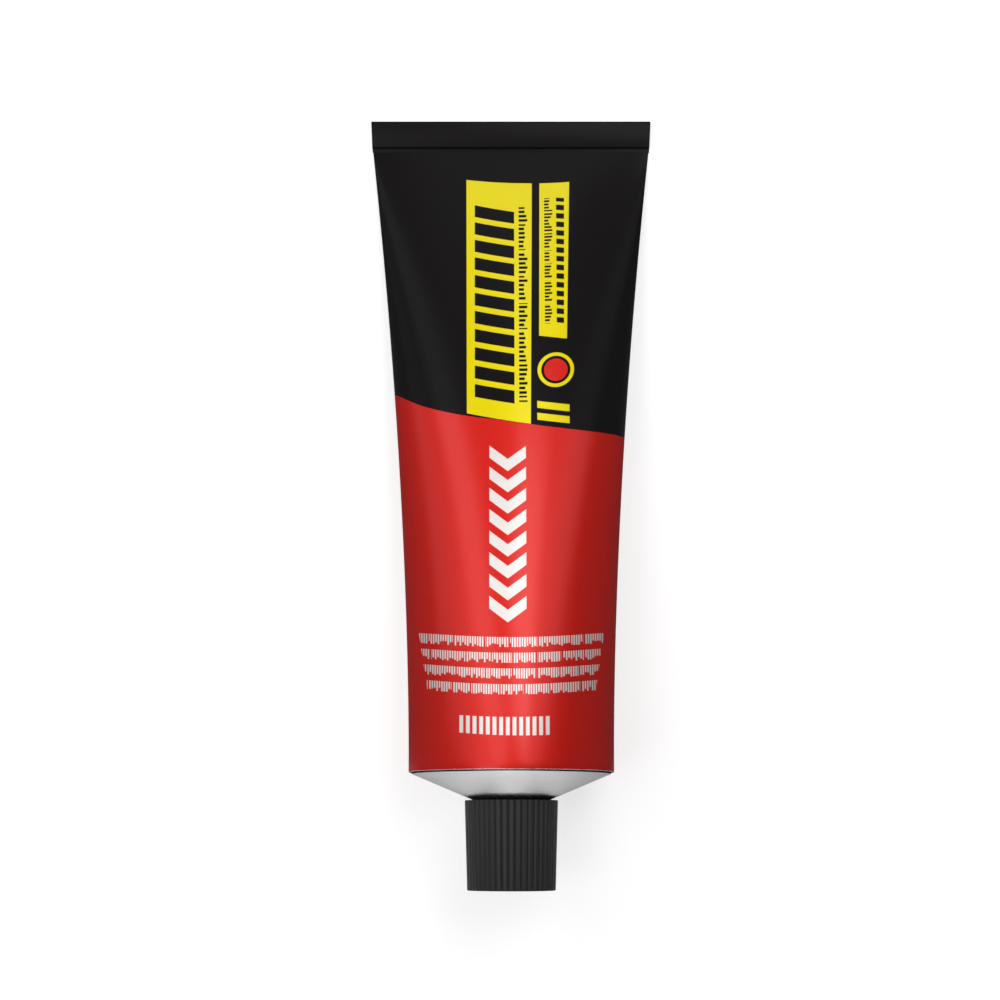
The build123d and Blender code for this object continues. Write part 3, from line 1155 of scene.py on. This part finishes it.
floor_mesh = bpy.data.meshes.new("floor")
unit_square = ((-1, -1), (1, -1), (1, 1), (-1, 1))
square = [(side * FLOOR_HALF, end * FLOOR_HALF, 0) for side, end in unit_square]
floor_mesh.from_pydata(square, [], [(0, 1, 2, 3)])
floor_mesh.materials.append(paper())
floor = bpy.data.objects.new("floor", floor_mesh)
bpy.context.scene.collection.objects.link(floor)
print("floor in metres:", 2 * FLOOR_HALF)

# %% Room
ROOM_GREY = 0.06
ROOM_TOP = (0.08, 0.08, 0.08)
ROOM_LOW = (0.36, 0.36, 0.36)
ROOM_FADES = 2.5

world = bpy.data.worlds.new("soft_room")
bpy.context.scene.world = world
world.use_nodes = True
room_tree = world.node_tree
towards = room_tree.nodes.new("ShaderNodeTexCoord")
height_seen = split(room_tree, towards.outputs["Generated"])[2]
overhead = (height_seen * ROOM_FADES).kept_in_one()
room_mirrored = blend_colour(room_tree, overhead, ROOM_LOW, ROOM_TOP)
by_camera, mirrored = seen_shares(room_tree)
room = blend_colour(room_tree, mirrored, (ROOM_GREY,) * 3, room_mirrored)
room = blend_colour(room_tree, by_camera, room, (1.0, 1.0, 1.0))
room_tree.links.new(room, room_tree.nodes["Background"].inputs["Color"])
print("nodes in the room:", len(room_tree.nodes))

# %% [markdown]
# ## The light
# Long soft boxes hang over the tube and run along it: a strong one a little to the left, with two
# more beyond its ends, one further left and one to the right. Two small ones between them draw the
# pale stripe down the enamel, one its red half and one its black half. One faces the shoulder along
# the tube's axis. The last lies on the floor, under the cap and beyond it, and faces up as a white
# reflector would: the shoulder's sides mirror it.

# %% Soft boxes
BOX_DISTANCE = 0.9


def soft_box(name, tilt_right, tilt_up, size, power):
    """A soft box that faces the tube, tilted from straight overhead by two angles in degrees."""
    data = bpy.data.lights.new(name, "AREA")
    data.shape = "RECTANGLE"
    data.size, data.size_y = size
    data.energy = power
    box = bpy.data.objects.new(name, data)
    away = Vector((math.tan(math.radians(tilt_right)), math.tan(math.radians(tilt_up)), 1)).normalized()
    box.location = away * BOX_DISTANCE
    box.rotation_euler = away.to_track_quat("Z", "Y").to_euler()
    box.visible_camera = False
    bpy.context.scene.collection.objects.link(box)
    return box


soft_box("left_box", -28, 25, (0.24, 0.9), 2.0)
soft_box("left_near_box", -24, -8, (0.3, 0.3), 1.0)
soft_box("left_far_box", -24, 62, (0.3, 0.4), 0.6)
soft_box("left_edge_box", -54, 23, (0.3, 0.9), 0.95)
soft_box("right_box", 35, 25, (0.3, 0.9), 1.3)
soft_box("stripe_box", 12, 26, (0.32, 0.42), 1.95)
soft_box("stripe_far_box", 6, 54, (0.14, 0.3), 0.32)
soft_box("front_box", 0, -83, (0.08, 0.08), 2.0)

# %% White reflector
REFLECTOR_SIZE = (0.09, 0.11)
REFLECTOR_WATTS = 0.018
REFLECTOR_LEFT = -0.01
REFLECTOR_LIFT = 0.5 * MM
reflector = soft_box("reflector", 0, 0, REFLECTOR_SIZE, REFLECTOR_WATTS)
reflector.location = (REFLECTOR_LEFT, rim_centre.y - REFLECTOR_SIZE[1] / 2, REFLECTOR_LIFT)
reflector.rotation_euler = (math.pi, 0, 0)
print("lamps:", len(bpy.data.lights))
